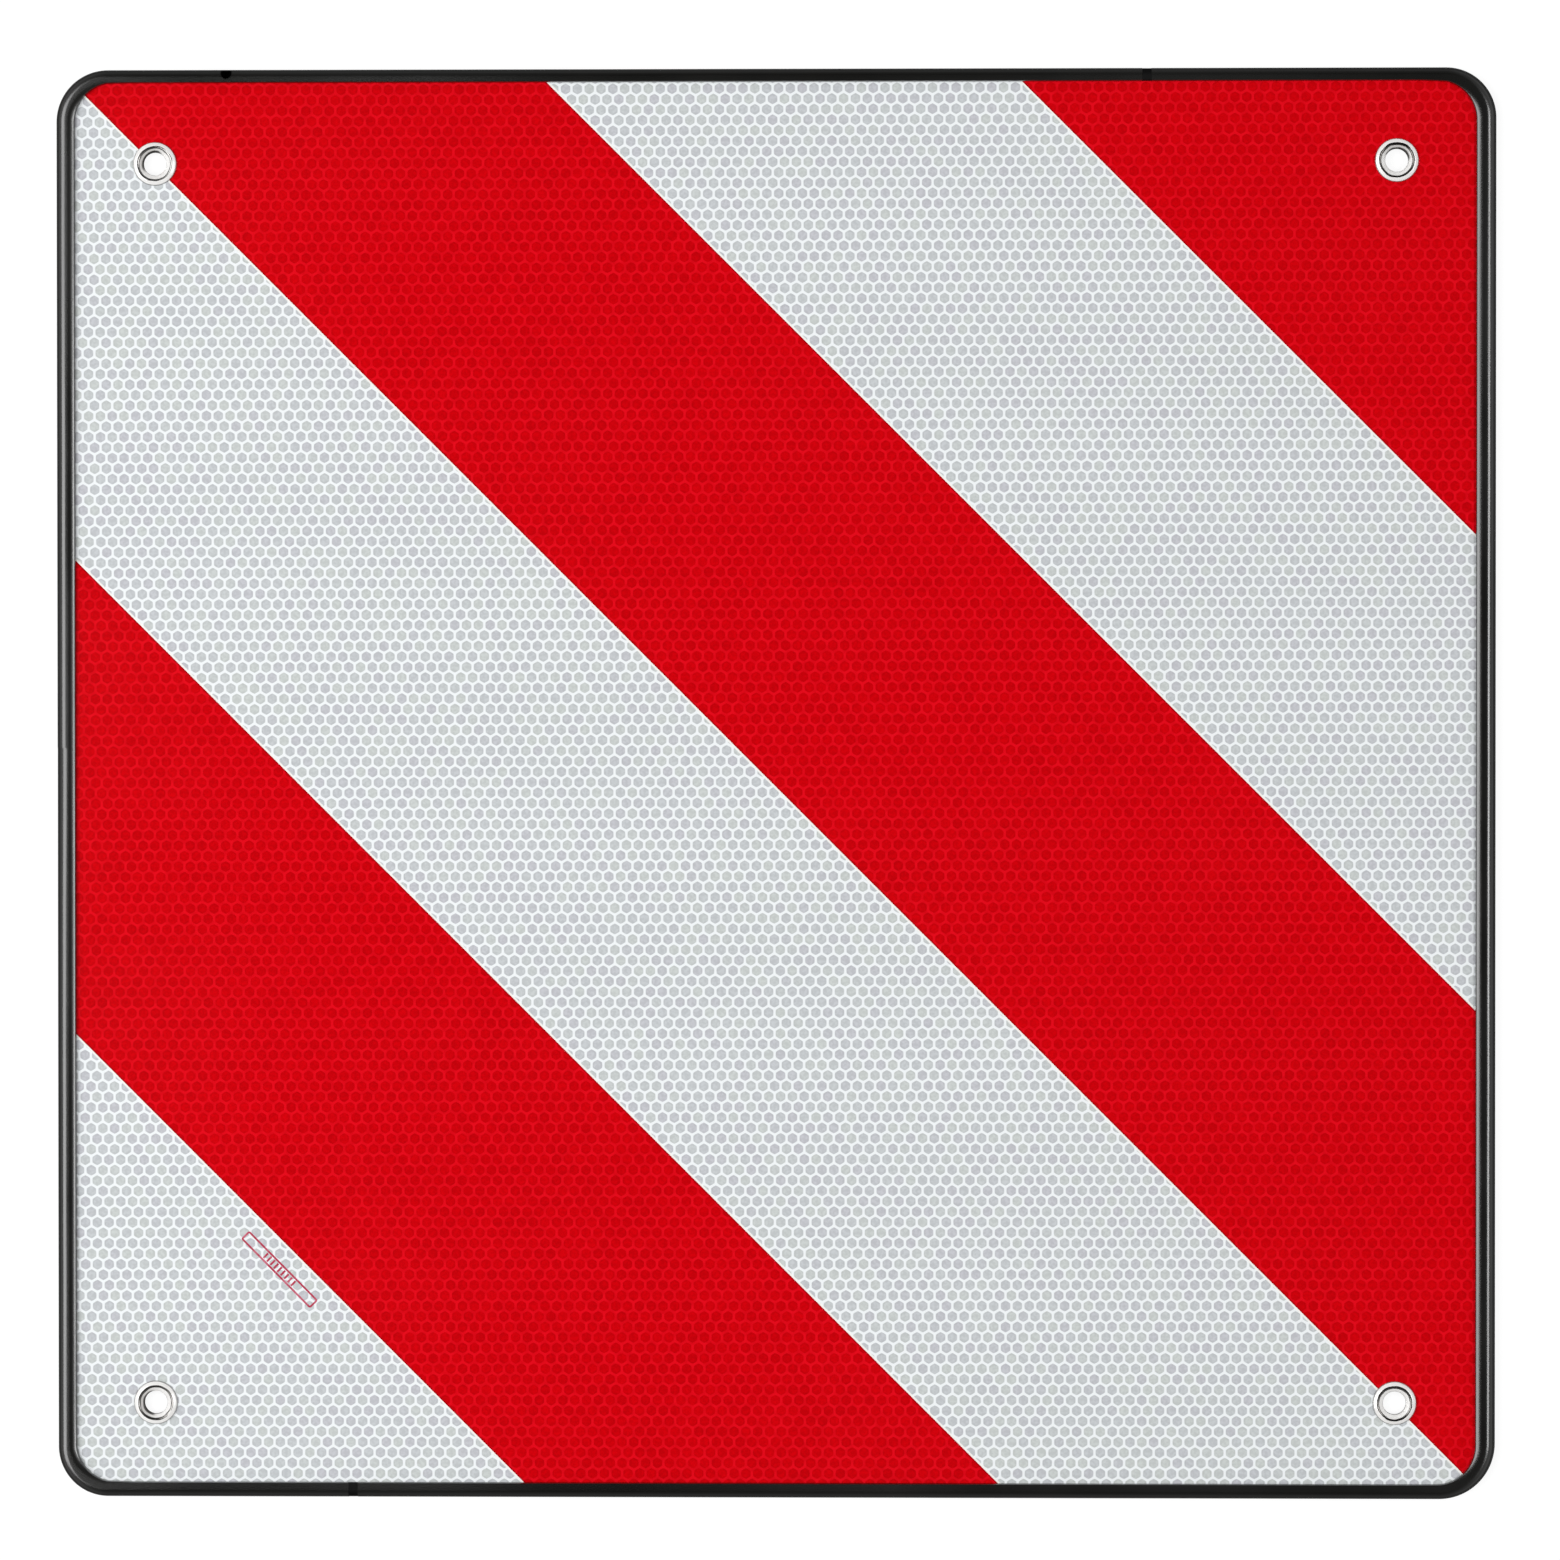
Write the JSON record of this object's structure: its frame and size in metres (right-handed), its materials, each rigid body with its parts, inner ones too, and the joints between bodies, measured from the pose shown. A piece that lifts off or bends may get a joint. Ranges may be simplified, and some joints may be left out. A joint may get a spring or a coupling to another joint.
{
  "type": "overhanging load sign",
  "caption": "Square marker board with red and white diagonal reflective bands, soft black edge trim and metal eyelets for fixing it over an overhanging load.",
  "frame": {"origin": "middle of the board's outline, on the plane that the back of the edge trim rests on", "axes": "+Z out of the reflective face, +X to the right and +Y up as the face is read"},
  "size_m": [0.5, 0.4966, 0.0056],
  "materials": {
    "aluminium_sheet": "mill finish",
    "white_film": "honeycomb retroreflective film, satin gloss",
    "red_ink": "red transparent ink over honeycomb film",
    "trim_rubber": "smooth extruded, satin",
    "joint_sealant": "matt",
    "eyelet_nickel": "bright nickel plate"
  },
  "bodies": {
    "root": {"panel": "aluminium_sheet", "reflective_film": "white_film", "red_band_corner": "red_ink", "red_band_middle": "red_ink", "red_band_lower": "red_ink", "edge_trim_right": "trim_rubber", "edge_trim_lower_left": "trim_rubber", "edge_trim_upper_left": "trim_rubber", "joint_filler_top": "joint_sealant", "joint_filler_bottom": "joint_sealant", "eyelet_top_left": "eyelet_nickel", "eyelet_top_right": "eyelet_nickel", "eyelet_bottom_left": "eyelet_nickel", "eyelet_bottom_right": "eyelet_nickel", "washer_top_left": "eyelet_nickel", "washer_top_right": "eyelet_nickel", "washer_bottom_left": "eyelet_nickel", "washer_bottom_right": "eyelet_nickel"}
  },
  "joints": []
}
